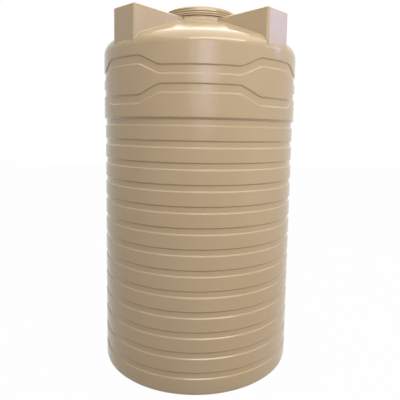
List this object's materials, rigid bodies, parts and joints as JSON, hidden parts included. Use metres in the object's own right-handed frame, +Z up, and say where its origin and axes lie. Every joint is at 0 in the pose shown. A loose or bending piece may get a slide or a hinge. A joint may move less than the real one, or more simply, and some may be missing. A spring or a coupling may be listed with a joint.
{
  "type": "water tank",
  "caption": "Tall round moulded water tank with ring grooves, a wavy groove band, a domed top with lifting lugs, a screw lid and threaded pipe inserts on the back.",
  "frame": {"origin": "centre of the flat base, on the tank's axis", "axes": "+Z up along the tank's axis, -Y the front with the plain panel, +Y the back with the pipe inserts"},
  "size_m": [1.212, 1.2118, 2.2001],
  "materials": {
    "polyethylene": "satin as moulded",
    "lid_polyethylene": "satin as moulded",
    "seal_rubber": "matte",
    "insert_brass": "machined"
  },
  "bodies": {
    "tank": {"tank_body": "polyethylene", "outlet_insert": "insert_brass", "overflow_insert": "insert_brass"},
    "seal": {"lid_seal": "seal_rubber"},
    "lid": {"lid": "lid_polyethylene"}
  },
  "joints": [
    {"name": "lid_lift", "type": "slide", "parent": "tank", "child": "seal", "axis": [0, 0, 1], "range_m": [0, 0.035]},
    {"name": "lid_turn", "type": "hinge", "parent": "seal", "child": "lid", "pos_m": [0, 0, 2.192], "axis": [0, 0, 1], "range_deg": [0, 900]}
  ],
  "couplings": [
    {"joint": "lid_lift", "follows": "lid_turn", "m_per_rad": 0.0022282}
  ]
}
